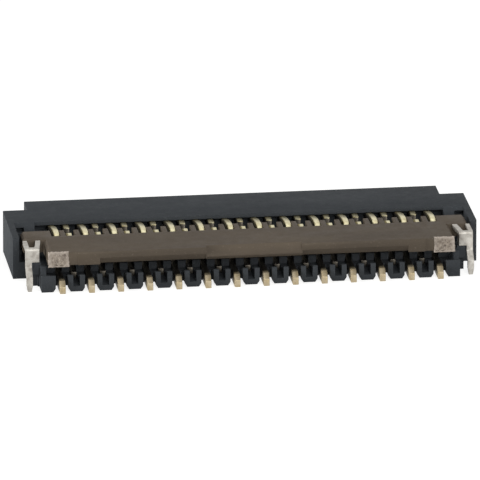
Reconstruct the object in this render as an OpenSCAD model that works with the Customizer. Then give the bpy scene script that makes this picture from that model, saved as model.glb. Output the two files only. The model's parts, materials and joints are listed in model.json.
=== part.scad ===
// Low-profile FPC connector with a back-flip lever and two staggered contact rows.
// X runs along the contact row, the lever lies on the -Y side, the flexible circuit
// enters from +Y and Z rises from the board. The origin is the middle of the
// footprint, on the board.

/* [Contact row] */
// Spacing of neighbouring contacts
pitch = 0.3; // [0.29:0.01:0.4]
// Number of contacts soldered on the lever side
rear_count = 14; // [8:1:20]
// Thickness of the contact sheet
blade_t = 0.12; // [0.09:0.01:0.125]
// Side clearance of a blade in its slot
blade_clear = 0.01; // [0.005:0.005:0.015]

/* [Contact blade] */
// Height of a solder tail's end
tail_h = 0.15; // [0.1:0.01:0.18]
// Length of the slope from a tail's end up to the lower beam
tail_slope = 0.13; // [0.08:0.01:0.15]
// Length of a lever-side tail in front of the comb
rear_tail_out = 0.15; // [0.15:0.01:0.3]
// Length of an entry-side tail behind the housing
front_tail_out = 0.17; // [0.1:0.01:0.3]
// Height of the lower beam
beam_h = 0.14; // [0.1:0.01:0.16]
// Height of the upper arm
arm_h = 0.1; // [0.08:0.01:0.12]
// Length of the pillar that joins the two beams
pillar_w = 0.14; // [0.1:0.01:0.18]
// Rise of the lower contact point above its beam
bump_h = 0.12; // [0.08:0.01:0.14]
// Distance between the contact points of the two rows
stagger = 0.25; // [0.15:0.01:0.3]
// Depth of the hook's nose below the arm
nose_h = 0.045; // [0.03:0.005:0.055]
// Length of the hook's nose
nose_w = 0.06; // [0.04:0.01:0.07]

/* [Housing] */
// Height of the housing above the board
body_h = 0.88; // [0.86:0.01:1]
// Distance from the last contact to the housing's end
end_margin = 0.9; // [0.88:0.01:1]
// Thickness of the floor under the contacts
floor_t = 0.11; // [0.08:0.01:0.12]
// Height of the comb and of the ribs between the contacts
comb_h = 0.35; // [0.32:0.01:0.38]
// Length of a comb finger
finger_len = 0.425; // [0.3:0.005:0.45]
// Width of a comb finger
finger_w = 0.34; // [0.32:0.01:0.36]
// Width of the bevel under a finger's edges
finger_bevel = 0.05; // [0.03:0.01:0.08]
// Fall of the fingers' tops from their front edges to the ribs
finger_fall = 0.15; // [0.05:0.01:0.18]
// Length of the low ribs between the fingers and the full ribs
low_rib_len = 0.26; // [0.1:0.01:0.3]
// Depth of the shelf between the fingers and the end walls
shelf_len = 0.56; // [0.5:0.01:0.6]
// Thickness of the end walls
wall_t = 0.13; // [0.1:0.01:0.14]
// Length of the end walls in front of the top plate
wall_len = 1.005; // [1:0.005:1.05]
// Length of the top plate at its shoulders
shoulder_len = 0.855; // [0.8:0.005:1]
// Length of the mouth beyond the shoulders
mouth_len = 0.57; // [0.45:0.01:0.7]
// Set-back of the mouth's sides from the housing's ends
mouth_inset = 0.5; // [0.45:0.01:0.52]
// Thickness of the roof over the contact chamber
roof_t = 0.12; // [0.1:0.01:0.14]
// Thickness of the roof's front lip
lip_t = 0.07; // [0.03:0.01:0.07]
// Depth of the chamber under the roof's front lip
chamber_len = 0.235; // [0.2:0.005:0.28]
// Width of the posts beside the chamber
post_w = 0.22; // [0.18:0.01:0.25]
// Size of the slope in front of the posts
post_slope = 0.18; // [0.1:0.01:0.2]

/* [Flexible circuit] */
// Thickness of the flexible circuit
circuit_t = 0.2; // [0.12:0.01:0.21]
// Distance from its edge to the centre of its outermost pad
circuit_margin = 0.3; // [0.25:0.01:0.31]
// Depth that it goes into the mouth
insert_len = 0.99; // [0.85:0.01:1.05]
// Gap above it
circuit_gap_z = 0.03; // [0.02:0.01:0.04]
// Gap at each side of it
circuit_gap_x = 0.01; // [0.01:0.005:0.02]
// Size of the bevels that guide it in
lead_in = 0.06; // [0.03:0.01:0.07]

/* [Lever] */
// Thickness of the lever
lever_t = 0.265; // [0.24:0.005:0.28]
// Drop of the lever's top below the housing's top
lever_drop = 0.01; // [0:0.005:0.02]
// Reach of the lever from its pivot to its front edge
lever_reach = 1.5; // [1.3:0.01:1.51]
// Length of the lever behind its pivot
heel_len = 0.05; // [0.03:0.005:0.055]
// Distance from the end walls' front faces to the pivot
pivot_in = 0.38; // [0.36:0.01:0.41]
// Radius of the lever's shaft
shaft_r = 0.09; // [0.08:0.005:0.095]
// Relief of the cams' radius below the shaft's
cam_relief = 0.005; // [0.003:0.001:0.01]
// Half width of the flat-sided cams between the teeth
cam_half = 0.065; // [0.05:0.005:0.075]
// Running gap round the shaft
shaft_gap = 0.015; // [0.01:0.005:0.02]
// Width of the windows for the hooks
window_w = 0.195; // [0.185:0.005:0.21]
// Reach of the windows in front of the pivot
window_reach = 0.325; // [0.27:0.005:0.35]
// Width of the lever's end arms
end_arm_w = 0.41; // [0.36:0.01:0.42]
// Reach of the end arms in front of the pivot
end_arm_reach = 0.545; // [0.5:0.005:0.56]
// Gap between the end arms and the end walls
lever_gap = 0.07; // [0.04:0.005:0.08]
// Width of the finger lip
lip_w = 1.98; // [1.2:0.02:2.4]
// Set-off of the lip and of the undercuts beside it towards the right end
lip_shift = 0.05; // [0:0.005:0.06]
// Bevel of the finger lip along Y
lip_bevel_y = 0.15; // [0.08:0.01:0.18]
// Bevel of the finger lip along Z
lip_bevel_z = 0.17; // [0.1:0.01:0.18]
// Undercut of the lever's front face along Y
undercut_y = 0.11; // [0.05:0.01:0.14]
// Undercut of the lever's front face along Z
undercut_z = 0.14; // [0.08:0.01:0.16]
// Width of the square-edged pads near the lever's ends
pad_w = 0.4; // [0.3:0.01:0.5]
// Width of the snapped-off mould gates
gate_w = 0.425; // [0.35:0.005:0.45]
// Width of the relief beside each gate
gate_relief_w = 0.185; // [0.12:0.005:0.2]
// Depth of that relief
gate_relief = 0.03; // [0.02:0.005:0.04]
// Drop of a gate's stub below the lever
gate_drop = 0.025; // [0.01:0.005:0.03]

/* [Hold-downs] */
// Thickness of the hold-down sheet
sheet_t = 0.08; // [0.06:0.01:0.085]
// Width of the front plate
plate_w = 0.285; // [0.27:0.005:0.3]
// Height of the front plate
plate_h = 0.3; // [0.26:0.01:0.34]
// Length of the fork's tines behind the plate's face
tine_len = 0.525; // [0.48:0.005:0.54]
// Width of the outer tine
tine_w = 0.085; // [0.07:0.005:0.09]
// Width of the solder leg
leg_w = 0.13; // [0.1:0.005:0.13]
// Step of the leg from the plate to its foot
leg_step = 0.185; // [0.12:0.005:0.19]
// Outer radius of the sheet's bend
bend_r = 0.06; // [0.03:0.01:0.07]
// Clearance of the press-in blade in the housing
press_gap = 0.005; // [0.003:0.001:0.008]

/* [Hidden] */
$fn = 48;
eps = 0.01;

front_count = rear_count - 1;
row_w = 2 * pitch * (rear_count - 1);
half_w = row_w / 2 + end_margin;
slot_w = blade_t + 2 * blade_clear;

// Stations along Y, from the lever side to the entry
depth = rear_tail_out + finger_len + shelf_len + wall_len + shoulder_len + mouth_len + front_tail_out;
tail_y = -depth / 2;
comb_y = tail_y + rear_tail_out;
floor_y = comb_y + finger_len;
rib_front_y = floor_y + low_rib_len;
wall_y = floor_y + shelf_len;
pivot_y = wall_y + pivot_in;
roof_y = wall_y + wall_len;
rib_y = roof_y + chamber_len;
shoulder_y = roof_y + shoulder_len;
mouth_y = shoulder_y + mouth_len;
stop_y = mouth_y - insert_len;
entry_tail_y = mouth_y + front_tail_out;

// Levels along Z
arm_drop = 0.08;
hook_gap = 0.01;
rib_rise = 0.01;
low_rib_h = comb_h - finger_fall;
beam_z = floor_t + beam_h;
arm_z = body_h - arm_drop;
arm_under_z = arm_z - arm_h;
pivot_z = arm_under_z - hook_gap - shaft_r;
lever_z = body_h - lever_drop;
lever_under_z = lever_z - lever_t;
circuit_z = comb_h - rib_rise;
circuit_top_z = circuit_z + circuit_t + circuit_gap_z;

// Places of the contacts
rear_xs = [for (i = [0 : rear_count - 1]) -row_w / 2 + 2 * pitch * i];
front_xs = [for (i = [0 : front_count - 1]) -row_w / 2 + pitch + 2 * pitch * i];
all_xs = concat(rear_xs, front_xs);

// Contact blade: the seat under the cam, the pillar and the two contact points
seat_half = 0.1;
seat_ramp = 0.08;
seat_z = pivot_z - shaft_r - shaft_gap;
pillar_gap = 0.04;
pillar_y = rib_y + pillar_gap;
blade_end_gap = 0.28;
rear_blade_end = mouth_y - blade_end_gap;
front_blade_end = rear_blade_end - stagger;
point_back = 0.12;
point_half = 0.1;
point_tip = point_half / 4;
point_z = beam_z + bump_h;
press_reach = 0.05;
press_point_z = circuit_top_z - press_reach;
press_beam_z = circuit_top_z + press_reach;

// Contact blade: the hook's crown over the cam, and the entry-side arms' dip behind it
nose_gap = 0.03;
nose_y = pivot_y - shaft_r - nose_gap - nose_w;
crown_half = 0.07;
crown_slope = 0.01;
crown_drop = 0.01;
crown_z = lever_z - crown_drop;
crown_rise = 0.1;
crown_round = 0.06;
dip_h = 0.13;
dip_gap = 0.1;
dip_front = 0.25;
dip_back = 0.22;
dip_y0 = pivot_y + dip_front;
dip_y1 = roof_y - dip_back;
dip_under_y0 = pivot_y + dip_gap;
dip_under_y1 = dip_y1 + arm_h;

// Contact blade: the lever-side arms are joggled towards +X in their windows
arm_side_gap = 0.0075;
arm_set = (window_w - blade_t) / 2 - arm_side_gap;
joggle_back = 0.02;
joggle_len = 0.18;
joggle_y1 = roof_y - joggle_back;
joggle_y0 = joggle_y1 - joggle_len;

// Contact blade: the tails
front_blade_in = 0.1;
rear_start = floor_y - blade_clear;
front_start = floor_y + front_blade_in;
tail_back = 0.15;

// Lever
lever_half = half_w - wall_t - lever_gap;
main_half = lever_half - end_arm_w;
lever_front = pivot_y - lever_reach;
lever_back = pivot_y + heel_len;
end_bevel = 0.06;
edge_bevel = 0.03;
gate_len = 0.2;
gate_slope = 0.12;

// Housing ends: the comb's end block with its ridge, and the guard beside the leg
finger_bevel_h = 1.5 * finger_bevel;
crest_len = 0.05;
block_x0 = row_w / 2 + pitch - finger_w / 2;
block_out = 0.13;
block_x1 = main_half + block_out;
land_out = 0.035;
ridge_w = 0.115;
ridge_h = 0.15;
ridge_back = 0.175;
ridge_len = 0.21;
guard_w = 0.27;
guard_back = 0.475;
guard_h = 0.264;
guard_x = main_half + guard_w;
guard_y = comb_y + guard_back;

// Hold-downs: the fork stops short of the end arms and stands just proud of the lever
fork_gap = 0.035;
fork_rise = 0.003;
fork_z = lever_z + fork_rise;
plate_out = 0.02;
plate_y = pivot_y - end_arm_reach - fork_gap - tine_len;
plate_x1 = lever_half + plate_out;
plate_x0 = plate_x1 - plate_w;
inner_tine_gap = 0.07;
inner_tine_w = 0.1;
inner_tine_x = main_half + inner_tine_gap;

// Hold-downs: the press-in blade behind the front plate
blade_len = 0.19;
blade_lift = 0.07;
blade_x1 = plate_x0 + sheet_t;
blade_y0 = plate_y + sheet_t - eps;
blade_y1 = blade_y0 + blade_len;
blade_z0 = guard_h + blade_lift;

// Hold-downs: the leg, stepped at its knee and tapered to its toe
leg_x0 = plate_x1 - leg_w;
knee_z = lever_z - plate_h;
knee_drop = 0.1;
knee_fall = 0.16;
knee_under = 0.035;
toe_taper = 0.025;
toe_h = 0.13;

// Housing ends: the socket on the guard that the hold-down's blade is pressed into
socket_wall = 0.04;
socket_back = 0.07;
socket_drop = 0.01;
socket_under = 0.04;
socket_x0 = plate_x0 - socket_wall;
socket_y0 = blade_y0 - socket_wall;
socket_y1 = blade_y1 + socket_back;
socket_z0 = guard_h + socket_under;
socket_z1 = knee_z - socket_drop;

// Housing ends: the chamber under the roof, the pockets and the cradles of the lever's shaft
pocket_z1 = body_h - lip_t - eps;
pocket_h = 0.1;
pocket_z0 = pocket_z1 - pocket_h;
pocket_in = 0.1;
chamber_margin = 0.35;
chamber_half = row_w / 2 + chamber_margin;
roof_slope = 0.09;
cradle_dip = 0.07;
cradle_h = pivot_z - cradle_dip;
cradle_len = 0.32;
cradle_in = 0.15;
cradle_gap = 0.04;

function numbered(prefix, i) = str(prefix, i < 9 ? "0" : "", i + 1);

// A profile drawn in the YZ plane, extruded from x0 to x1
module along_x(x0, x1) {
    translate([x0, 0, 0]) rotate([90, 0, 90]) linear_extrude(x1 - x0) children();
}

// A profile drawn in the XZ plane, extruded from y0 to y1
module along_y(y0, y1) {
    translate([0, y1, 0]) rotate([90, 0, 0]) linear_extrude(y1 - y0) children();
}

// A block between two corners
module block(low, high) {
    translate(low) cube(high - low);
}

// The same thing at both ends
module both_ends() {
    children();
    mirror([1, 0, 0]) children();
}

// ---- Housing ----

// Side view of the comb in front of the low ribs: its top falls away behind a level crest
module comb_profile() {
    polygon([
        [comb_y, 0], [floor_y + eps, 0], [floor_y + eps, low_rib_h],
        [comb_y + crest_len, comb_h], [comb_y, comb_h]
    ]);
}

// One comb finger: bevelled below, as long as the gap between two tails
module finger(x) {
    w = finger_w / 2;
    intersection() {
        along_y(comb_y, floor_y + eps) polygon([
            [x - w, finger_bevel_h], [x - w + finger_bevel, 0], [x + w - finger_bevel, 0],
            [x + w, finger_bevel_h], [x + w, comb_h], [x - w, comb_h]
        ]);
        along_x(x - w, x + w) comb_profile();
    }
}

// The solid end of the comb, with the ridge, the guard and the blade's socket beside it
module comb_end() {
    intersection() {
        along_y(comb_y, floor_y + eps) polygon([
            [block_x0, finger_bevel_h], [block_x0 + finger_bevel, 0], [block_x1, 0],
            [block_x1, comb_h], [block_x0, comb_h]
        ]);
        along_x(block_x0, block_x1) comb_profile();
    }
    block([block_x1 - ridge_w, comb_y + ridge_back, 0],
          [block_x1, comb_y + ridge_back + ridge_len, comb_h + ridge_h]);
    block([main_half, guard_y, 0], [guard_x, wall_y + eps, guard_h]);
    block([socket_x0, guard_y, 0], [guard_x, socket_y1, socket_z1]);
    block([socket_x0, socket_y0, socket_z0], [guard_x, socket_y1, socket_z1]);
}

// The cradle that carries the lever's shaft under an end arm
module cradle() {
    block([main_half + cradle_in, pivot_y - cradle_len / 2, comb_h - eps],
          [lever_half - cradle_gap, pivot_y + cradle_len / 2, cradle_h]);
}

module housing_solid() {
    along_x(-block_x1 - land_out, block_x1 + land_out) polygon([
        [floor_y, 0], [wall_y + eps, 0], [wall_y + eps, comb_h], [rib_front_y, comb_h],
        [rib_front_y, low_rib_h], [floor_y, low_rib_h]
    ]);
    block([-half_w, wall_y, 0], [half_w, roof_y + eps, comb_h]);
    block([-half_w, roof_y, 0], [half_w, shoulder_y, body_h]);
    block([mouth_inset - half_w, shoulder_y - eps, 0], [half_w - mouth_inset, mouth_y, body_h]);
    for (x = front_xs) finger(x);
    both_ends() {
        comb_end();
        cradle();
        block([half_w - wall_t, wall_y, 0], [half_w, roof_y + eps, body_h]);
        along_x(chamber_half, half_w - wall_t + eps) polygon([
            [roof_y + eps, comb_h - eps], [roof_y + eps, body_h], [roof_y, body_h],
            [roof_y - post_slope, body_h - post_slope], [roof_y - post_slope, comb_h - eps]
        ]);
    }
}

// Chamber under the roof's front lip, and the pocket beyond each post
module chamber() {
    roof_z = body_h - roof_t;
    along_x(-chamber_half, chamber_half) polygon([
        [roof_y - eps, comb_h], [rib_y, comb_h], [rib_y, roof_z],
        [roof_y + roof_slope, roof_z], [roof_y - eps, body_h - lip_t]
    ]);
    both_ends() block([chamber_half + post_w, roof_y - post_slope - eps, pocket_z0],
                      [half_w - wall_t, roof_y + pocket_in, pocket_z1]);
}

// Space for the flexible circuit, opening out at the mouth
module circuit_cavity() {
    half = row_w / 2 + circuit_margin + circuit_gap_x;
    block([-half, stop_y, circuit_z], [half, mouth_y + eps, circuit_top_z]);
    along_x(-half, half) polygon([
        [mouth_y - lead_in, circuit_z], [mouth_y + eps, circuit_z - lead_in - eps],
        [mouth_y + eps, circuit_top_z + lead_in + eps], [mouth_y - lead_in, circuit_top_z]
    ]);
}

// Slot of a contact soldered on the lever side
module rear_slot(x) {
    block([x - slot_w / 2, floor_y - eps, floor_t],
          [x + slot_w / 2, rear_blade_end + blade_clear, arm_z + blade_clear]);
}

// Slot of a contact soldered on the entry side, with the notch for its tail
module front_slot(x) {
    block([x - slot_w / 2, comb_y - eps, floor_t],
          [x + slot_w / 2, front_blade_end + blade_clear, arm_z + blade_clear]);
    block([x - slot_w / 2, floor_y, floor_t],
          [x + slot_w / 2, mouth_y + eps, circuit_z + eps]);
    block([x - slot_w / 2, mouth_y - tail_back - blade_clear, -eps],
          [x + slot_w / 2, mouth_y + eps, circuit_z]);
}

module housing() {
    color([0.25, 0.27, 0.28]) difference() {
        housing_solid();
        chamber();
        circuit_cavity();
        for (x = rear_xs) rear_slot(x);
        for (x = front_xs) front_slot(x);
        both_ends() {
            block([plate_x0 - press_gap, blade_y0 - press_gap, blade_z0 - press_gap],
                  [blade_x1 + press_gap, blade_y1 + press_gap, socket_z1 + eps]);
            translate([0, pivot_y, pivot_z]) rotate([0, 90, 0])
                cylinder(h = half_w - wall_t, r = shaft_r + shaft_gap);
        }
    }
}

// ---- Lever ----

// The plate with its end arms, square-edged
module lever_blank() {
    block([-main_half, lever_front, lever_under_z], [main_half, lever_back, lever_z]);
    block([-lever_half, pivot_y - end_arm_reach, lever_under_z], [lever_half, lever_back, lever_z]);
    translate([-lever_half, pivot_y, pivot_z]) rotate([0, 90, 0])
        cylinder(h = 2 * lever_half, r = shaft_r);
    both_ends() block([main_half - gate_w, lever_front + edge_bevel, lever_under_z - gate_drop],
                      [main_half, lever_front + gate_len, lever_under_z + eps]);
}

// The front face between the pads, undercut for a fingernail
module front_undercut() {
    pad_x1 = main_half - gate_w - gate_relief_w;
    pad_x0 = pad_x1 - pad_w;
    nail = undercut_z / 2;
    both_ends() block([pad_x1, lever_front - eps, lever_under_z - eps],
                      [pad_x1 + gate_relief_w, lever_front + gate_relief, lever_z + eps]);
    translate([lip_shift, 0, 0]) both_ends() along_x(lip_w / 2, pad_x0) polygon([
        [lever_front - eps, lever_under_z + undercut_z], [lever_front, lever_under_z + undercut_z],
        [lever_front + undercut_y, lever_under_z], [lever_front + undercut_y, lever_under_z - eps],
        [lever_front - eps, lever_under_z - eps]
    ]);
    along_x(lip_shift - lip_w / 2, lip_shift + lip_w / 2) {
        polygon([
            [lever_front - eps, lever_under_z + nail], [lever_front, lever_under_z + nail],
            [lever_front + nail, lever_under_z], [lever_front + nail, lever_under_z - eps],
            [lever_front - eps, lever_under_z - eps]
        ]);
        polygon([
            [lever_front - eps, lever_z - lip_bevel_z], [lever_front, lever_z - lip_bevel_z],
            [lever_front + lip_bevel_y, lever_z], [lever_front + lip_bevel_y, lever_z + eps],
            [lever_front - eps, lever_z + eps]
        ]);
    }
}

// Bevels along the lever's front edge and at its ends, and the sloped breaks of its gates
module lever_bevels() {
    gate_x0 = main_half - gate_w;
    along_x(-gate_x0, gate_x0) polygon([
        [lever_front - eps, lever_z - edge_bevel], [lever_front, lever_z - edge_bevel],
        [lever_front + edge_bevel, lever_z], [lever_front + edge_bevel, lever_z + eps],
        [lever_front - eps, lever_z + eps]
    ]);
    both_ends() {
        along_x(gate_x0, main_half + eps) polygon([
            [lever_front - eps, lever_under_z], [lever_front, lever_under_z],
            [lever_front + gate_slope, lever_z], [lever_front + gate_slope, lever_z + eps],
            [lever_front - eps, lever_z + eps]
        ]);
        along_y(lever_front - eps, pivot_y - end_arm_reach) polygon([
            [main_half - end_bevel, lever_z + eps], [main_half - end_bevel, lever_z],
            [main_half, lever_z - end_bevel], [main_half + eps, lever_z - end_bevel],
            [main_half + eps, lever_z + eps]
        ]);
        along_y(pivot_y - end_arm_reach - eps, lever_back + eps) polygon([
            [lever_half - end_bevel, lever_z + eps], [lever_half - end_bevel, lever_z],
            [lever_half, lever_z - end_bevel], [lever_half + eps, lever_z - end_bevel],
            [lever_half + eps, lever_z + eps]
        ]);
    }
}

// A window that a contact's hook reaches through
module window(x) {
    block([x - window_w / 2, pivot_y - window_reach, pivot_z - 2 * shaft_r],
          [x + window_w / 2, lever_back + eps, lever_z + eps]);
}

// The flat-sided cam that runs on through the windows
module cam() {
    r = shaft_r - cam_relief;
    intersection() {
        translate([-row_w / 2 - pitch, pivot_y, pivot_z]) rotate([0, 90, 0])
            cylinder(h = row_w + 2 * pitch, r = r);
        block([-half_w, pivot_y - cam_half, pivot_z - shaft_r],
              [half_w, pivot_y + cam_half, pivot_z + shaft_r]);
    }
}

module lever() {
    color([0.38, 0.345, 0.305]) union() {
        difference() {
            lever_blank();
            front_undercut();
            lever_bevels();
            for (x = all_xs) window(x);
        }
        cam();
    }
}

// ---- Contacts ----

// Upper arm: the hook over the cam, the pillar and the beam that presses the circuit.
// The hook rises to a rounded crown, or it dips between a low crown and the roof.
module upper_beam(blade_end, dipped) {
    under_dip = [
        [dip_under_y0, arm_under_z], [dip_under_y0, arm_under_z - dip_h],
        [dip_under_y1, arm_under_z - dip_h], [dip_under_y1, arm_under_z]
    ];
    low_crown = [
        [dip_y1, arm_z], [dip_y1, arm_z - dip_h], [dip_y0, arm_z - dip_h],
        [pivot_y + crown_half, arm_z], [pivot_y - crown_half, arm_z - crown_slope]
    ];
    high_crown = [
        [joggle_y1, arm_z], [pivot_y + crown_rise, crown_z], [pivot_y - crown_half, crown_z],
        [nose_y + crown_round / 2, crown_z - crown_round / 2], [nose_y, crown_z - crown_round]
    ];
    polygon(concat(
        [[nose_y, arm_under_z - nose_h], [nose_y + nose_w, arm_under_z - nose_h],
         [nose_y + nose_w + nose_h, arm_under_z]],
        dipped ? under_dip : [],
        [[pillar_y, arm_under_z], [pillar_y, beam_z - eps], [pillar_y + pillar_w, beam_z - eps],
         [pillar_y + pillar_w, press_beam_z], [blade_end - point_back - point_half, press_beam_z],
         [blade_end - point_back, press_point_z], [blade_end, press_beam_z],
         [blade_end, press_beam_z + arm_h], [pillar_y + pillar_w, arm_z]],
        dipped ? low_crown : high_crown,
        [[nose_y, arm_under_z]]
    ));
}

// Lower beam with the seat under the cam and the contact point
module lower_beam(start, stop, blade_end) {
    point_y = blade_end - point_back;
    polygon([
        [start, floor_t], [stop, floor_t], [stop, beam_z], [point_y + point_half, beam_z],
        [point_y + point_tip, point_z], [point_y - point_tip, point_z],
        [point_y - point_half, beam_z], [pivot_y + seat_half + seat_ramp, beam_z],
        [pivot_y + seat_half, seat_z], [pivot_y - seat_half, seat_z],
        [pivot_y - seat_half - seat_ramp, beam_z], [start, beam_z]
    ]);
}

// Plan of a joggled arm, from its nose to the blade's end
module joggled_plan(x) {
    x0 = x - blade_t / 2;
    x1 = x + blade_t / 2;
    polygon([
        [x0, rear_blade_end + eps], [x0, joggle_y1], [x0 + arm_set, joggle_y0],
        [x0 + arm_set, nose_y - eps], [x1 + arm_set, nose_y - eps], [x1 + arm_set, joggle_y0],
        [x1, joggle_y1], [x1, rear_blade_end + eps]
    ]);
}

// Contact soldered on the lever side
module rear_contact(x) {
    color([0.8, 0.7, 0.48]) {
        along_x(x - blade_t / 2, x + blade_t / 2) {
            lower_beam(rear_start - eps, rear_blade_end, rear_blade_end);
            polygon([
                [tail_y, 0], [rear_start, 0], [rear_start, beam_z],
                [tail_y + tail_slope, beam_z], [tail_y, tail_h]
            ]);
        }
        intersection() {
            along_x(x - blade_t, x + blade_t / 2 + 2 * arm_set) upper_beam(rear_blade_end, false);
            linear_extrude(body_h) joggled_plan(x);
        }
    }
}

// Contact soldered on the entry side
module front_contact(x) {
    tail_start = mouth_y - tail_back;
    color([0.8, 0.7, 0.48]) along_x(x - blade_t / 2, x + blade_t / 2) {
        upper_beam(front_blade_end, true);
        lower_beam(front_start, tail_start + eps, front_blade_end);
        polygon([
            [tail_start, 0], [entry_tail_y, 0], [entry_tail_y, tail_h],
            [entry_tail_y - tail_slope, beam_z], [tail_start, beam_z]
        ]);
    }
}

// ---- Hold-downs ----

// The leg steps forward from the plate and stands on the board
module leg() {
    step_y = plate_y - leg_step;
    bend_z = knee_z - knee_drop;
    foot_z = bend_z - knee_fall;
    intersection() {
        along_x(leg_x0, plate_x1) polygon([
            [plate_y, knee_z + eps], [plate_y, bend_z], [step_y, foot_z], [step_y, 0],
            [step_y + sheet_t, 0], [step_y + sheet_t, foot_z - knee_under],
            [plate_y + sheet_t, bend_z - knee_under], [plate_y + sheet_t, knee_z + eps]
        ]);
        along_y(step_y - eps, plate_y + 2 * sheet_t) polygon([
            [leg_x0 + toe_taper, 0], [plate_x1 - toe_taper, 0], [plate_x1, toe_h],
            [plate_x1, body_h], [leg_x0, body_h], [leg_x0, toe_h]
        ]);
    }
}

module hold_down() {
    difference() {
        union() {
            block([plate_x0, plate_y, knee_z], [plate_x1, plate_y + sheet_t, fork_z]);
            block([plate_x1 - tine_w, plate_y, fork_z - sheet_t], [plate_x1, plate_y + tine_len, fork_z]);
            translate([0, 0, fork_z - sheet_t]) linear_extrude(sheet_t) polygon([
                [plate_x0, plate_y], [plate_x0 + inner_tine_w, plate_y],
                [inner_tine_x + inner_tine_w, plate_y + tine_len],
                [inner_tine_x, plate_y + tine_len]
            ]);
            block([plate_x0, blade_y0, blade_z0], [blade_x1, blade_y1, fork_z - sheet_t / 2]);
            leg();
        }
        difference() {
            block([plate_x0 - eps, plate_y - eps, fork_z - bend_r],
                  [plate_x1 + eps, plate_y + bend_r, fork_z + eps]);
            translate([plate_x0 - plate_w, plate_y + bend_r, fork_z - bend_r]) rotate([0, 90, 0])
                cylinder(h = 3 * plate_w, r = bend_r);
        }
    }
}

module hold_down_left() {
    color([0.78, 0.76, 0.73]) mirror([1, 0, 0]) hold_down();
}

module hold_down_right() {
    color([0.78, 0.76, 0.73]) hold_down();
}

housing();
lever();
hold_down_left();
hold_down_right();
for (i = [0 : rear_count - 1])
    rear_contact(rear_xs[i]);
for (i = [0 : front_count - 1])
    front_contact(front_xs[i]);
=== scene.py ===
import json
import math

import bmesh
import bpy
from mathutils import Matrix, Vector


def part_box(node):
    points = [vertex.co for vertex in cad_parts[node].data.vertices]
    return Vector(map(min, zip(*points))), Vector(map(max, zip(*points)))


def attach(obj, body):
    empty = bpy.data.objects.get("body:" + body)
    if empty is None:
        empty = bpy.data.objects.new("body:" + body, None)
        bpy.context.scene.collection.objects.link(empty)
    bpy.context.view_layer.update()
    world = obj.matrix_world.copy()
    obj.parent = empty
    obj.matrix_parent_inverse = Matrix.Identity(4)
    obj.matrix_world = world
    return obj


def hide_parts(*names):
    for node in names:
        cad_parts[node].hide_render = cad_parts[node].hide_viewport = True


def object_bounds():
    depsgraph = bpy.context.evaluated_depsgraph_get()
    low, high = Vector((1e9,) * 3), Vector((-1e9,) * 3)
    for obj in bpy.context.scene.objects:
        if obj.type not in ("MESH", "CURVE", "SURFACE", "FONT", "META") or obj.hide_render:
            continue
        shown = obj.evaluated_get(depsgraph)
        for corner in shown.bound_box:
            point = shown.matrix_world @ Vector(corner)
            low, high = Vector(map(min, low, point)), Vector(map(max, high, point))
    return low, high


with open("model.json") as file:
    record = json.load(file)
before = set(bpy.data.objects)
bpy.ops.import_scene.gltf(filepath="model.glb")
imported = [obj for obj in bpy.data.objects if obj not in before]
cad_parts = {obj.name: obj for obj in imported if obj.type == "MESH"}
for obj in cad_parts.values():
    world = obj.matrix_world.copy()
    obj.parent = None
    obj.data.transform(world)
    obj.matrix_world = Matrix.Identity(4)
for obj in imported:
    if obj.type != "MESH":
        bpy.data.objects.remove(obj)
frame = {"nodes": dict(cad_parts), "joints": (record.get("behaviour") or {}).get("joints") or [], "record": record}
cad_box = [list(corner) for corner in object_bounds()]

MM = 0.001  # one millimetre in metres; pieces are shaped in millimetres and then brought to metres

SLOTS = {part["node"]: part["material_slot"] for part in frame["record"]["subparts"]}
LEVER_SIDE = sorted(name for name in frame["nodes"] if name.startswith("rear_contact"))
ENTRY_SIDE = sorted(name for name in frame["nodes"] if name.startswith("front_contact"))


def span(name):
    """Lowest and highest corner of a CAD node, in millimetres."""
    low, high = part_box(name)
    return low / MM, high / MM


def middle_x(name):
    """The middle of a CAD node along the row, in millimetres."""
    low, high = span(name)
    return (low.x + high.x) / 2


HINGE = Vector(frame["joints"][0]["pos_m"]) / MM

# Millimetres: a moulded edge, a stamped edge, and how close two corners are to be one
MOULDED_EDGE, STAMPED_EDGE, SAME_CORNER = 0.014, 0.012, 2e-4
# Degrees: faces that differ by less are one flat, and edges sharper than this are eased
ONE_FLAT, SHARP = 0.5, 32

# The torn stub of a mould gate on the lever's front corner, in millimetres: its width,
# thickness, run and drop, how far in from the lever's end it is, and its seat in the break
GATE_WIDE, GATE_THICK, GATE_RUN, GATE_DROP = 0.425, 0.06, 0.12, 0.29
GATE_INSET, GATE_BACK, GATE_SUNK = 0.41, 0.016, 0.007

# The camera: turn and height in degrees, lens and distance in millimetres, and the aim's
# place from the middle of the part
TURN, HEIGHT, LENS, DISTANCE = 7.37, 17.77, 919.1, 252
AIM_OFFSET = (-0.066, -0.409, 0.102)


def gate_middle():
    """The middle of the right-hand stub; it leans on the sloping break of the solid lever."""
    low, high = span("lever")
    return Vector((high.x - GATE_INSET - GATE_WIDE / 2, low.y + GATE_RUN / 2 + GATE_BACK,
                   high.z - GATE_DROP / 2 - GATE_SUNK))


# ---- Camera ----

def aim_camera():
    """A long lens from above the lever side, turned a little towards the left end."""
    low, high = (Vector(corner) for corner in cad_box)
    aim = (low + high) / 2 + Vector(AIM_OFFSET) * MM
    turn, height = math.radians(TURN), math.radians(HEIGHT)
    sight = Vector((math.sin(turn) * math.cos(height), math.cos(turn) * math.cos(height),
                    -math.sin(height)))
    lens = bpy.data.cameras.new("long_lens")
    lens.sensor_width = 36
    lens.lens = LENS
    lens.clip_start, lens.clip_end = 0.01, 10
    camera = bpy.data.objects.new("camera", lens)
    camera.location = aim - sight * DISTANCE * MM
    camera.rotation_mode = "QUATERNION"
    camera.rotation_quaternion = sight.to_track_quat("-Z", "Y")
    bpy.context.scene.collection.objects.link(camera)
    bpy.context.scene.camera = camera


# ---- Materials ----

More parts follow.
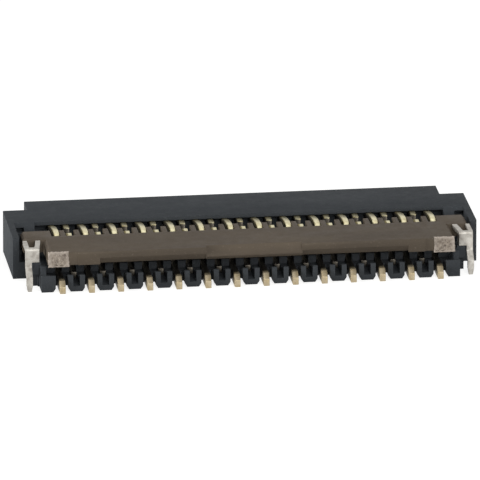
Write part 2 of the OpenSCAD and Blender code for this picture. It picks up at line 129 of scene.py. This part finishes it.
def paint(hexcode):
    """An sRGB hex colour as linear RGBA."""
    parts = [int(hexcode[i:i + 2], 16) / 255 for i in (1, 3, 5)]
    return [c / 12.92 if c <= 0.04045 else ((c + 0.055) / 1.055) ** 2.4 for c in parts] + [1]


def per_mm(size):
    """The scale that makes a pattern's feature this many millimetres across."""
    return 1 / (size * MM)


def node(tree, kind, values=None, into=None, **settings):
    """One node: its settings, the constants of its inputs and what is linked into them."""
    made = tree.nodes.new(kind)
    for key, value in settings.items():
        setattr(made, key, value)
    for key, value in (values or {}).items():
        made.inputs[key].default_value = value
    for key, socket in (into or {}).items():
        tree.links.new(socket, made.inputs[key])
    return made


def blank_finish(name):
    """An empty node material with its output and Object coordinates."""
    material = bpy.data.materials.new(name)
    material.use_nodes = True
    tree = material.node_tree
    tree.nodes.clear()
    place = node(tree, "ShaderNodeTexCoord").outputs["Object"]
    return material, tree, place, node(tree, "ShaderNodeOutputMaterial")


def noise(tree, place, size, detail=2.0, rough=0.5, stretch=(1, 1, 1)):
    """Noise whose features are this many millimetres across, stretched along the axes."""
    scaled = node(tree, "ShaderNodeMapping", {"Scale": stretch}, {"Vector": place})
    return node(tree, "ShaderNodeTexNoise",
                {"Scale": per_mm(size), "Detail": detail, "Roughness": rough},
                {"Vector": scaled.outputs["Vector"]}).outputs["Fac"]


def ranged(tree, value, low, high, to_low, to_high):
    """A value's share of one range, brought to another and held inside it."""
    return node(tree, "ShaderNodeMapRange",
                {"From Min": low, "From Max": high, "To Min": to_low, "To Max": to_high},
                {"Value": value}).outputs["Result"]


def blend(tree, share, first, second):
    """Two colours mixed by a share; each is a hex code or a colour socket."""
    mix = node(tree, "ShaderNodeMix", into={0: share}, data_type="RGBA", clamp_factor=True)
    for index, colour in ((6, first), (7, second)):
        if isinstance(colour, str):
            mix.inputs[index].default_value = paint(colour)
        else:
            tree.links.new(colour, mix.inputs[index])
    return mix.outputs[2]


def moulded_lcp(name, body, flow, fibre, roughness, gloss):
    """Glass-filled liquid-crystal polymer from a spark-eroded mould: matt, with faint flow
    marks along the row, pale fibre ends and a fine even grain."""
    material, tree, place, out = blank_finish(name)
    flow_marks = noise(tree, place, 0.9, 3, 0.6, (0.35, 1, 1.6))
    clouds = noise(tree, place, 0.16, 4, 0.65)
    # Fibre ends are about 0.01 mm across; they are drawn at 0.03 mm so that they show
    fibres = noise(tree, place, 0.03, 2, 0.7, (0.6, 1, 1))
    colour = blend(tree, ranged(tree, flow_marks, 0.35, 0.65, 0, 1), body, flow)
    colour = blend(tree, ranged(tree, fibres, 0.6, 0.8, 0, 0.55), colour, fibre)
    dulled = ranged(tree, clouds, 0.3, 0.7, roughness - 0.07, roughness + 0.07)
    # The eroded grain is 0.02 to 0.03 mm across and about 0.002 mm deep
    grain = noise(tree, place, 0.028, 3, 0.6)
    bumps = node(tree, "ShaderNodeBump", {"Strength": 0.35, "Distance": 0.003 * MM},
                 {"Height": grain})
    shader = node(tree, "ShaderNodeBsdfPrincipled",
                  {"Metallic": 0, "IOR": 1.6, "Specular IOR Level": gloss},
                  {"Base Color": colour, "Roughness": dulled, "Normal": bumps.outputs["Normal"]})
    tree.links.new(shader.outputs["BSDF"], out.inputs["Surface"])
    return material


def snapped_lcp():
    """The same polymer where a mould gate was snapped off: whitened, fibrous and pitted."""
    material, tree, place, out = blank_finish("lcp_brown_snapped")
    lumps = noise(tree, place, 0.07, 4, 0.7)
    strands = noise(tree, place, 0.02, 2, 0.6, (1, 1, 0.35))
    pits = node(tree, "ShaderNodeTexVoronoi", {"Scale": per_mm(0.13)}, {"Vector": place})
    axes = node(tree, "ShaderNodeSeparateXYZ", into={"Vector": place}).outputs
    aside = node(tree, "ShaderNodeMath", into={0: axes["X"]}, operation="ABSOLUTE").outputs[0]
    middle = gate_middle()
    reaches = []
    for axis, centre, size in ((aside, middle.x, GATE_WIDE), (axes["Z"], middle.z, GATE_DROP)):
        off = node(tree, "ShaderNodeMath", {1: centre * MM}, {0: axis}, operation="SUBTRACT")
        reach = node(tree, "ShaderNodeMath", into={0: off.outputs[0]}, operation="ABSOLUTE")
        reaches.append(ranged(tree, reach.outputs[0], size * 0.3 * MM, size * 0.48 * MM, 0, 1))
    rim = node(tree, "ShaderNodeMath", into={0: reaches[0], 1: reaches[1]},
               operation="MAXIMUM").outputs[0]
    specks = ranged(tree, pits.outputs["Distance"], 0.16, 0.3, 0.85, 0)
    inner = node(tree, "ShaderNodeMath", {0: 1.0}, {1: rim}, operation="SUBTRACT").outputs[0]
    dark = node(tree, "ShaderNodeMath", into={0: specks, 1: inner},
                operation="MULTIPLY").outputs[0]
    colour = blend(tree, ranged(tree, lumps, 0.35, 0.66, 0, 1), "#62584e", "#918679")
    colour = blend(tree, ranged(tree, strands, 0.5, 0.75, 0, 0.5), colour, "#c4baaf")
    colour = blend(tree, ranged(tree, rim, 0, 1, 0, 0.5), colour, "#bbb0a5")
    colour = blend(tree, dark, colour, "#3a302a")
    bumps = node(tree, "ShaderNodeBump", {"Strength": 0.8, "Distance": 0.012 * MM},
                 {"Height": lumps})
    shader = node(tree, "ShaderNodeBsdfPrincipled",
                  {"Metallic": 0, "IOR": 1.6, "Roughness": 0.85, "Specular IOR Level": 0.3},
                  {"Base Color": colour, "Normal": bumps.outputs["Normal"]})
    tree.links.new(shader.outputs["BSDF"], out.inputs["Surface"])
    return material


def gold_flash():
    """Gold flash over nickel on stamped phosphor bronze. A blade's cut edge is burnished on the
    right, where the punch went in, and torn and dull on the left; the dark olive there also paints
    the shade on the blades' left sides. The tails are warmer, and the flash is worn thin below the
    arms' top edges, where the nickel shows, painted dark as the shade under the lever. Behind the
    hinge the edges are painted greyer, as the roof's shade."""
    material, tree, place, out = blank_finish("gold_flash_over_nickel")
    axes = node(tree, "ShaderNodeSeparateXYZ", into={"Vector": place}).outputs
    pitch = (middle_x(LEVER_SIDE[1]) - middle_x(LEVER_SIDE[0])) / 2 * MM
    across = node(tree, "ShaderNodeMath", {1: pitch / 2, 2: -pitch / 2}, {0: axes["X"]},
                  operation="WRAP").outputs[0]
    wander = ranged(tree, noise(tree, place, 0.06, 2), 0.3, 0.7, -0.012 * MM, 0.012 * MM)
    edge = node(tree, "ShaderNodeMath", into={0: across, 1: wander}, operation="ADD").outputs[0]
    torn_and_shaded_share = ranged(tree, edge, -0.032 * MM, -0.008 * MM, 1, 0)
    # The tails are the outer 0.2 to 0.3 mm of each row
    lever_end, entry_end = span(LEVER_SIDE[0])[0].y, span(ENTRY_SIDE[0])[1].y
    lever_side = ranged(tree, axes["Y"], (lever_end + 0.2) * MM, (lever_end + 0.32) * MM, 1, 0)
    entry_side = ranged(tree, axes["Y"], (entry_end - 0.3) * MM, (entry_end - 0.2) * MM, 0, 1)
    tail_share = node(tree, "ShaderNodeMath", into={0: lever_side, 1: entry_side},
                      operation="MAXIMUM").outputs[0]
    # Only the arms' top edges rise past this height; bare nickel shows on what is below it, painted dark as the
    # shade under the lever
    above = ranged(tree, axes["Z"], 0.77 * MM, 0.79 * MM, 0, 1)
    gilded = node(tree, "ShaderNodeMath", into={0: tail_share, 1: above},
                  operation="MAXIMUM").outputs[0]
    patches = noise(tree, place, 0.1, 3, 0.6)
    # Behind the hinge the edges are painted greyer: painted shade where the roof shades the arms
    roof_shade_share = ranged(tree, axes["Y"], (HINGE.y + 0.08) * MM, (HINGE.y + 0.35) * MM, 0, 0.8)
    # Dark olive on the left of each blade: the torn cut edge, and painted shade on the left sides
    colour = blend(tree, torn_and_shaded_share, "#d0c9a8", "#5f5734")
    colour = blend(tree, roof_shade_share, colour, "#77735f")
    colour = blend(tree, tail_share, colour, "#aa9e86")
    colour = blend(tree, ranged(tree, patches, 0.45, 0.75, 0, 0.5), colour, "#96824f")
    # Below the top edges: nickel, painted dark as the shade under the lever
    colour = blend(tree, gilded, "#5d5850", colour)
    streaks = noise(tree, place, 0.02, 2, 0.5, (1, 1, 0.2))
    satin = ranged(tree, streaks, 0.3, 0.7, 0.36, 0.52)
    dull = node(tree, "ShaderNodeMath", {1: 0.22}, {0: tail_share, 2: satin},
                operation="MULTIPLY_ADD").outputs[0]
    bumps = node(tree, "ShaderNodeBump", {"Strength": 0.3, "Distance": 0.002 * MM},
                 {"Height": streaks})
    shader = node(tree, "ShaderNodeBsdfPrincipled", {"Metallic": 1},
                  {"Base Color": colour, "Roughness": dull, "Normal": bumps.outputs["Normal"]})
    tree.links.new(shader.outputs["BSDF"], out.inputs["Surface"])
    return material


def matt_tin():
    """Electroplated matt tin on stamped brass: light grey, softly frosted, a little blotchy."""
    material, tree, place, out = blank_finish("matt_tin_plate")
    blotches = noise(tree, place, 0.11, 4, 0.65)
    frost = noise(tree, place, 0.02, 3, 0.7)
    colour = blend(tree, ranged(tree, blotches, 0.35, 0.7, 0, 1), "#b1aea7", "#8f8a83")
    dull = ranged(tree, frost, 0.3, 0.7, 0.5, 0.66)
    bumps = node(tree, "ShaderNodeBump", {"Strength": 0.4, "Distance": 0.002 * MM},
                 {"Height": frost})
    shader = node(tree, "ShaderNodeBsdfPrincipled", {"Metallic": 1},
                  {"Base Color": colour, "Roughness": dull, "Normal": bumps.outputs["Normal"]})
    tree.links.new(shader.outputs["BSDF"], out.inputs["Surface"])
    return material


def seen_directly(tree):
    """1 for camera, glossy and transmission rays."""
    ray = node(tree, "ShaderNodeLightPath").outputs
    either = node(tree, "ShaderNodeMath", into={0: ray["Is Camera Ray"], 1: ray["Is Glossy Ray"]},
                  operation="MAXIMUM").outputs[0]
    return node(tree, "ShaderNodeMath", into={0: either, 1: ray["Is Transmission Ray"]},
                operation="MAXIMUM").outputs[0]


def table_paper():
    """Smooth pale paper under the part, seen as white; it keeps the soft shadow."""
    material, tree, place, out = blank_finish("pale_table_paper")
    fibre = noise(tree, place, 0.4, 2)
    colour = blend(tree, fibre, "#a2a2a0", "#a8a8a6")
    matt = node(tree, "ShaderNodeBsdfDiffuse", into={"Color": colour})
    glow = node(tree, "ShaderNodeEmission", {"Color": (1, 1, 1, 1), "Strength": 0.8})
    lit = node(tree, "ShaderNodeAddShader",
               into={0: matt.outputs["BSDF"], 1: glow.outputs["Emission"]})
    bounce = node(tree, "ShaderNodeBsdfDiffuse", {"Color": paint("#a8a8a6")})
    either = node(tree, "ShaderNodeMixShader",
                  into={0: seen_directly(tree), 1: bounce.outputs["BSDF"],
                        2: lit.outputs["Shader"]})
    tree.links.new(either.outputs["Shader"], out.inputs["Surface"])
    return material


# ---- Shaping ----

def in_metres(mesh):
    """Brings a mesh that was shaped in millimetres to metres."""
    mesh.transform(Matrix.Scale(MM, 4))
    mesh.update()
    return mesh


def evaluated(thing, name):
    """The object's mesh with its modifiers, in an object of its own at the origin."""
    bpy.context.scene.collection.objects.link(thing)
    graph = bpy.context.evaluated_depsgraph_get()
    mesh = bpy.data.meshes.new_from_object(thing.evaluated_get(graph))
    mesh.name = name
    bpy.data.objects.remove(thing)
    made = bpy.data.objects.new(name, in_metres(mesh))
    bpy.context.scene.collection.objects.link(made)
    return made


def merged_copy(source):
    """A CAD node's form in millimetres: its triangles joined and its flats made whole."""
    form = bmesh.new()
    form.from_mesh(frame["nodes"][source].data)
    bmesh.ops.scale(form, vec=(1 / MM,) * 3, verts=form.verts)
    bmesh.ops.remove_doubles(form, verts=form.verts, dist=SAME_CORNER)
    bmesh.ops.dissolve_limit(form, angle_limit=math.radians(ONE_FLAT), verts=form.verts,
                             edges=form.edges)
    for face in form.faces:
        face.smooth = True
    mesh = bpy.data.meshes.new(source + "_form")
    form.to_mesh(mesh)
    form.free()
    return bpy.data.objects.new(source + "_form", mesh)


def eased(thing, radius, steps=2):
    """Rounds the sharp edges, as a mould or a barrel plating leaves them."""
    edge = thing.modifiers.new("eased_edges", "BEVEL")
    edge.width, edge.segments = radius, steps
    edge.limit_method, edge.angle_limit = "ANGLE", math.radians(SHARP)
    edge.harden_normals = True
    edge.use_clamp_overlap = True
    return thing


def dress(piece, material, body, slot, *nodes):
    """Gives a finished piece its material and its body, and hides the CAD nodes that it stands for."""
    piece.data.materials.clear()
    piece.data.materials.append(material)
    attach(piece, body)
    if nodes:
        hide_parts(*nodes)
    return piece


# ---- Geometry Nodes ----

def new_tree(name, sockets):
    """A geometry tree with its named inputs; each is (name, socket type, default)."""
    tree = bpy.data.node_groups.new(name, "GeometryNodeTree")
    face = tree.interface
    face.new_socket("Geometry", in_out="OUTPUT", socket_type="NodeSocketGeometry")
    face.new_socket("Geometry", in_out="INPUT", socket_type="NodeSocketGeometry")
    for title, kind, value in sockets:
        socket = face.new_socket(title, in_out="INPUT", socket_type=kind)
        if value is not None:
            socket.default_value = value
    return tree, node(tree, "NodeGroupInput").outputs, node(tree, "NodeGroupOutput")


def run_tree(thing, tree, **inputs):
    """Adds the tree to the object and sets its inputs by their identifiers."""
    runner = thing.modifiers.new(tree.name, "NODES")
    runner.node_group = tree
    for socket in tree.interface.items_tree:
        key = socket.name.replace(" ", "_").lower()
        if socket.in_out == "INPUT" and key in inputs:
            runner[socket.identifier] = inputs[key]
    return thing


def contact_row_tree():
    """Repeats one contact blade along the row."""
    tree, given, out = new_tree("contact_row", [
        ("Count", "NodeSocketInt", 2), ("Step", "NodeSocketFloat", 0.6),
        ("Finish", "NodeSocketMaterial", None)])
    step = node(tree, "ShaderNodeCombineXYZ", into={"X": given["Step"]})
    line = node(tree, "GeometryNodeMeshLine",
                into={"Count": given["Count"], "Offset": step.outputs["Vector"]}, mode="OFFSET")
    row = node(tree, "GeometryNodeInstanceOnPoints",
               into={"Points": line.outputs["Mesh"], "Instance": given["Geometry"]})
    solid = node(tree, "GeometryNodeRealizeInstances", into={"Geometry": row.outputs["Instances"]})
    done = node(tree, "GeometryNodeSetMaterial",
                into={"Geometry": solid.outputs["Geometry"], "Material": given["Finish"]})
    tree.links.new(done.outputs["Geometry"], out.inputs["Geometry"])
    return tree


def contact_row(name, names, tree, material):
    """One row of contacts: the first blade, eased and repeated at the row's own step."""
    step = middle_x(names[1]) - middle_x(names[0])
    blade = eased(merged_copy(names[0]), STAMPED_EDGE)
    run_tree(blade, tree, count=len(names), step=step, finish=material)
    return dress(evaluated(blade, name), material, "base", "contact", *names)


def snapped_gate_tree():
    """A lump with a torn surface: a fine block whose skin is pushed in and out by noise."""
    tree, given, out = new_tree("snapped_gate", [
        ("Size", "NodeSocketVector", (0.4, 0.1, 0.3)), ("Grain", "NodeSocketFloat", 0.07),
        ("Tear", "NodeSocketFloat", 0.03), ("Seed", "NodeSocketInt", 1),
        ("Finish", "NodeSocketMaterial", None)])
    block = node(tree, "GeometryNodeMeshCube",
                 {"Vertices X": 34, "Vertices Y": 8, "Vertices Z": 28}, {"Size": given["Size"]})
    scale = node(tree, "ShaderNodeMath", {0: 1.0}, {1: given["Grain"]}, operation="DIVIDE")
    rough = node(tree, "ShaderNodeTexNoise", {"Detail": 3.0, "Roughness": 0.65},
                 {"Scale": scale.outputs[0], "W": given["Seed"]}, noise_dimensions="4D")
    centred = node(tree, "ShaderNodeMath", {1: 0.5}, {0: rough.outputs["Fac"]},
                   operation="SUBTRACT")
    push = node(tree, "ShaderNodeMath", into={0: centred.outputs[0], 1: given["Tear"]},
                operation="MULTIPLY")
    skin = node(tree, "GeometryNodeInputNormal")
    move = node(tree, "ShaderNodeVectorMath", into={0: skin.outputs["Normal"]}, operation="SCALE")
    tree.links.new(push.outputs[0], move.inputs["Scale"])
    torn = node(tree, "GeometryNodeSetPosition",
                into={"Geometry": block.outputs["Mesh"], "Offset": move.outputs["Vector"]})
    soft = node(tree, "GeometryNodeSetShadeSmooth", {"Shade Smooth": True},
                {"Geometry": torn.outputs["Geometry"]})
    solid = node(tree, "GeometryNodeRealizeInstances", into={"Geometry": soft.outputs["Geometry"]})
    done = node(tree, "GeometryNodeSetMaterial",
                into={"Geometry": solid.outputs["Geometry"], "Material": given["Finish"]})
    tree.links.new(done.outputs["Geometry"], out.inputs["Geometry"])
    return tree


def snapped_gate(name, side, seed, tree, material):
    """The torn stub where a mould gate was snapped off; it stands a little proud of the lever."""
    stub = bpy.data.objects.new(name + "_form", bpy.data.meshes.new(name + "_form"))
    run_tree(stub, tree, size=(GATE_WIDE, GATE_THICK, math.hypot(GATE_RUN, GATE_DROP)),
             grain=0.075, tear=0.05, seed=seed, finish=material)
    made = evaluated(stub, name)
    lean = Matrix.Rotation(-math.atan2(GATE_RUN, GATE_DROP), 4, "X")
    middle = gate_middle()
    seat = Matrix.Translation(Vector((side * middle.x, middle.y, middle.z)) * MM)
    made.data.transform(seat @ lean)
    return dress(made, material, "lever", "lever")


# ---- Studio ----

def soft_lamp(name, place, target, size, level):
    """A square softbox; level 1 lights a facing white surface to white by itself."""
    reach = Vector(place) - Vector(target)
    lamp = bpy.data.lights.new(name, "AREA")
    lamp.size = size * MM
    lamp.energy = level * math.pi ** 2 * (reach.length * MM) ** 2
    held = bpy.data.objects.new(name, lamp)
    held.location = Vector(place) * MM
    held.rotation_mode = "QUATERNION"
    held.rotation_quaternion = (-reach).to_track_quat("-Z", "Y")
    bpy.context.scene.collection.objects.link(held)


def studio(paper):
    """A pale room, three soft lamps at a plain level, and a table of paper under the part."""
    world = bpy.data.worlds.new("pale_room")
    world.use_nodes = True
    tree = world.node_tree
    tree.nodes.clear()
    room = node(tree, "ShaderNodeBackground", {"Color": (1, 1, 1, 1), "Strength": 0.3})
    white = node(tree, "ShaderNodeBackground", {"Color": (1, 1, 1, 1), "Strength": 1})
    either = node(tree, "ShaderNodeMixShader",
                  into={0: seen_directly(tree), 1: room.outputs[0], 2: white.outputs[0]})
    node(tree, "ShaderNodeOutputWorld", into={"Surface": either.outputs["Shader"]})
    bpy.context.scene.world = world
    soft_lamp("left_softbox", (-170, -35, 32), (0, 0, 0), 90, 1.0)
    soft_lamp("front_softbox", (30, -175, 85), (0, 0, 0), 110, 0.66)
    soft_lamp("top_softbox", (20, 40, 190), (0, 0, 0), 120, 0.1)
    table = bpy.data.meshes.new("table")
    form = bmesh.new()
    bmesh.ops.create_grid(form, x_segments=2, y_segments=2, size=400 * MM)
    form.to_mesh(table)
    form.free()
    table.materials.append(paper)
    floor = bpy.data.objects.new("table", table)
    bpy.context.scene.collection.objects.link(floor)


# ---- The connector ----

bpy.context.scene.view_settings.view_transform = "Standard"
aim_camera()

black = moulded_lcp("lcp_black_moulded", "#34373a", "#3a3d40", "#54585b", 0.75, 0.07)
brown = moulded_lcp("lcp_brown_moulded", "#4b433a", "#554c41", "#786e62", 0.65, 0.1)
torn = snapped_lcp()
gold = gold_flash()
tin = matt_tin()
finishes = {"housing": black, "lever": brown, "contact": gold, "hold_down": tin}
for name, solid in frame["nodes"].items():
    solid.data.materials.clear()
    solid.data.materials.append(finishes[SLOTS[name]])

dress(evaluated(eased(merged_copy("housing"), MOULDED_EDGE), "housing_moulding"),
      black, "base", "housing", "housing")
dress(evaluated(eased(merged_copy("lever"), MOULDED_EDGE), "lever_moulding"),
      brown, "lever", "lever", "lever")
for side in ("left", "right"):
    plate = "hold_down_" + side
    dress(evaluated(eased(merged_copy(plate), STAMPED_EDGE), plate + "_stamping"),
          tin, "base", "hold_down", plate)

row = contact_row_tree()
contact_row("lever_side_contacts", LEVER_SIDE, row, gold)
contact_row("entry_side_contacts", ENTRY_SIDE, row, gold)

gate = snapped_gate_tree()
snapped_gate("gate_scar_left", -1, 3, gate, torn)
snapped_gate("gate_scar_right", 1, 11, gate, torn)

studio(table_paper())
